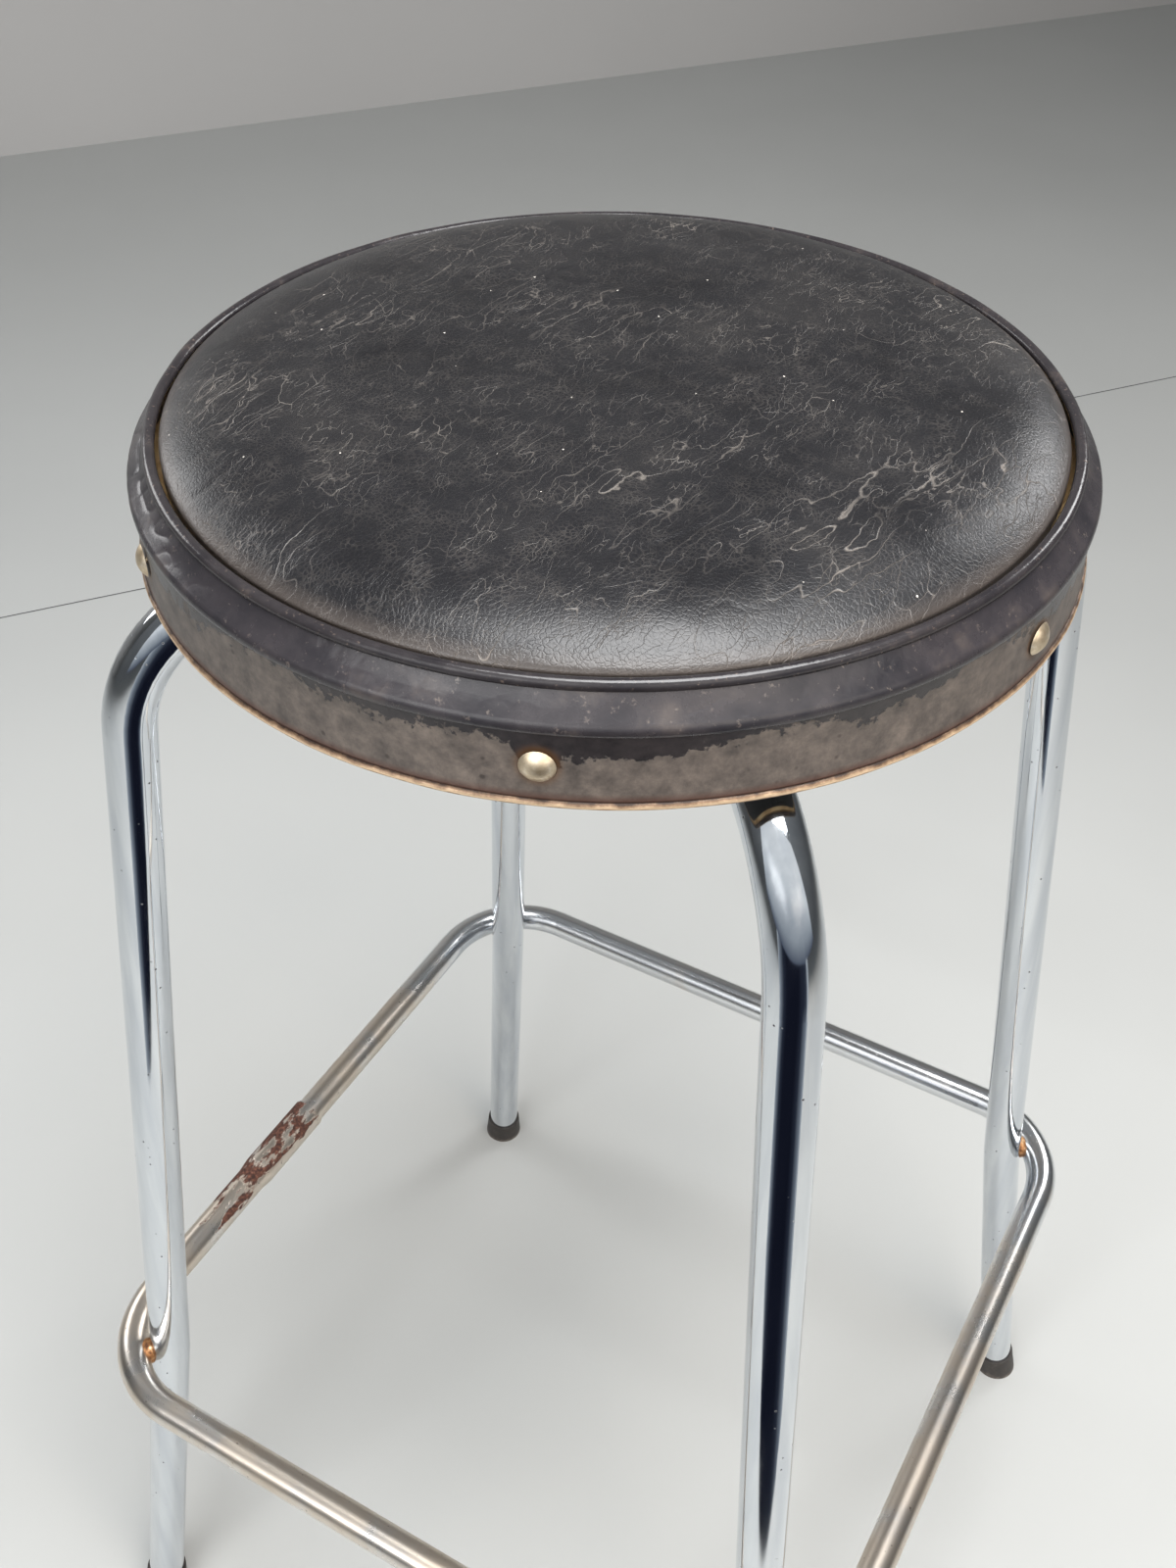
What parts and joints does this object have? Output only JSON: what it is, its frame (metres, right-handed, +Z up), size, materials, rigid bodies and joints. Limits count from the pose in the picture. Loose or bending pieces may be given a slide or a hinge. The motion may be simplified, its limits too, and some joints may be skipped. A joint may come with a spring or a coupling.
{
  "type": "bar stool",
  "caption": "Bar stool: round domed leather seat with nailed side band, splayed bent-tube chrome legs, square footrest ring and rubber feet.",
  "frame": {"origin": "on the floor, under the middle of the four legs", "axes": "+Z up; the footrest's four sides lie along X and Y, so the legs stand on the diagonals"},
  "size_m": [0.4142, 0.4142, 0.77],
  "materials": {
    "plywood": "raw birch plywood",
    "foam": "aged upholstery foam",
    "seat_leather": "worn and creased black",
    "piping_leather": "black piping",
    "band_leather": "glossy black with wrinkles",
    "wall_leather": "rubbed grey-brown",
    "copper_trim": "worn copper colour",
    "aged_brass": "aged, domed",
    "cover_cloth": "thin black cloth",
    "plate_steel": "black paint",
    "weld_steel": "as welded",
    "zinc_washers": "zinc plated",
    "zinc_screws": "zinc plated",
    "leg_chrome": "bright chrome",
    "ring_chrome": "dulled chrome with rust",
    "braze_metal": "as brazed, stained",
    "foot_rubber": "matte dark brown-black",
    "washer_steel": "plain steel"
  },
  "bodies": {
    "root": {"seat_board": "plywood", "foam_pad": "foam", "top_panel": "seat_leather", "welt": "piping_leather", "shoulder_band": "band_leather", "wall_band": "wall_leather", "edge_trim": "copper_trim", "rim_nails": "aged_brass", "dust_cover": "cover_cloth", "mounting_plate": "plate_steel", "plate_welds": "weld_steel", "screw_washers": "zinc_washers", "seat_screws": "zinc_screws", "leg_1": "leg_chrome", "leg_2": "leg_chrome", "leg_3": "leg_chrome", "leg_4": "leg_chrome", "footrest_ring": "ring_chrome", "braze_1": "braze_metal", "braze_2": "braze_metal", "braze_3": "braze_metal", "braze_4": "braze_metal", "foot_1": "foot_rubber", "foot_2": "foot_rubber", "foot_3": "foot_rubber", "foot_4": "foot_rubber", "foot_washers": "washer_steel"}
  },
  "joints": []
}
